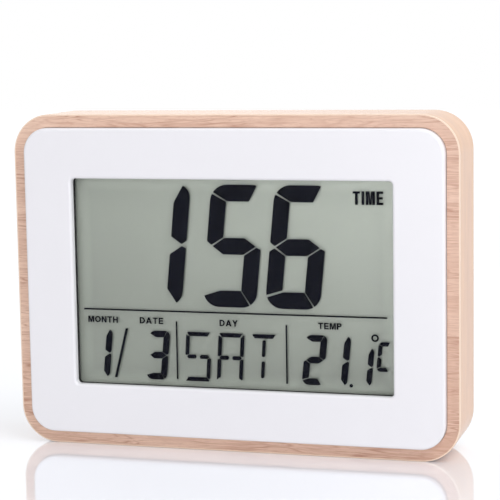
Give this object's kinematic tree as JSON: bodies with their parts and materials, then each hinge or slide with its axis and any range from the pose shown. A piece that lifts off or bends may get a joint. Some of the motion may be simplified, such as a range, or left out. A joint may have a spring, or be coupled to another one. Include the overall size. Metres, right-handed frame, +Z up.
{
  "type": "digital clock",
  "caption": "Digital table and wall clock: a veneered wooden ring round a white front panel with a large display, rear buttons, a hanging hole and a hinged battery door.",
  "frame": {"origin": "bottom centre of the whole clock's box, on the surface it stands on", "axes": "+X right as seen from the front, +Y from the display to the back, +Z up"},
  "size_m": [0.205, 0.0392, 0.1515],
  "materials": {
    "core_wood": "bare fibreboard",
    "veneer": "satin varnished pale wood veneer",
    "white_plastic": "smooth white",
    "rear_plastic": "fine white texture",
    "lens_clear": "clear acrylic",
    "gasket_foam": "black foam",
    "polarizer_film": "neutral film",
    "lcd_glass": "clear glass",
    "seal_grey": "epoxy",
    "segment_dark": "dark liquid crystal",
    "reflector": "grey green reflector film",
    "contact_rubber": "striped elastomer",
    "black_plastic": "fine texture",
    "screw_steel": "zinc plated",
    "board_green": "solder mask",
    "chip_black": "epoxy",
    "crystal_can": "tinned",
    "capacitor_sleeve": "shrink sleeve",
    "resistor_black": "glazed ceramic",
    "sensor_bead": "epoxy bead",
    "switch_black": "moulded",
    "plunger_grey": "moulded",
    "button_grey": "fine texture",
    "cell_jacket": "printed jacket",
    "contact_metal": "nickel plated",
    "lead_red": "insulation",
    "lead_black": "insulation"
  },
  "bodies": {
    "clock": {"wood_ring": "core_wood", "front_veneer": "veneer", "edge_veneer": "veneer", "front_panel": "white_plastic", "window_lens": "lens_clear", "window_gasket": "gasket_foam", "front_polarizer": "polarizer_film", "front_glass": "lcd_glass", "glass_seal": "seal_grey", "display_segments": "segment_dark", "rear_glass": "lcd_glass", "rear_reflector": "reflector", "contact_strip": "contact_rubber", "display_holder": "black_plastic", "holder_screws": "screw_steel", "circuit_board": "board_green", "board_screws": "screw_steel", "chip_cap": "chip_black", "quartz_crystal": "crystal_can", "capacitors": "capacitor_sleeve", "resistors": "resistor_black", "temperature_sensor": "sensor_bead", "switch_bodies": "switch_black", "rear_cover": "rear_plastic", "cover_screws": "screw_steel", "upper_cell": "cell_jacket", "lower_cell": "cell_jacket", "positive_contact": "contact_metal", "negative_contact": "contact_metal", "bridge_contact": "contact_metal", "contact_springs": "contact_metal", "red_lead": "lead_red", "black_lead": "lead_black"},
    "button_1": {"button_1": "button_grey", "switch_plunger_1": "plunger_grey"},
    "button_2": {"button_2": "button_grey", "switch_plunger_2": "plunger_grey"},
    "button_3": {"button_3": "button_grey", "switch_plunger_3": "plunger_grey"},
    "button_4": {"button_4": "button_grey", "switch_plunger_4": "plunger_grey"},
    "battery_door": {"battery_door": "rear_plastic"}
  },
  "joints": [
    {"name": "button_1_press", "type": "slide", "parent": "clock", "child": "button_1", "axis": [0, -1, 0], "range_m": [0, 0.0005], "stiffness_N_per_m": 1500},
    {"name": "button_2_press", "type": "slide", "parent": "clock", "child": "button_2", "axis": [0, -1, 0], "range_m": [0, 0.0005], "stiffness_N_per_m": 1500},
    {"name": "button_3_press", "type": "slide", "parent": "clock", "child": "button_3", "axis": [0, -1, 0], "range_m": [0, 0.0005], "stiffness_N_per_m": 1500},
    {"name": "button_4_press", "type": "slide", "parent": "clock", "child": "button_4", "axis": [0, -1, 0], "range_m": [0, 0.0005], "stiffness_N_per_m": 1500},
    {"name": "door_hinge", "type": "hinge", "parent": "clock", "child": "battery_door", "pos_m": [0, 0.0166, 0.0332], "axis": [-1, 0, 0], "range_deg": [0, 90]}
  ]
}
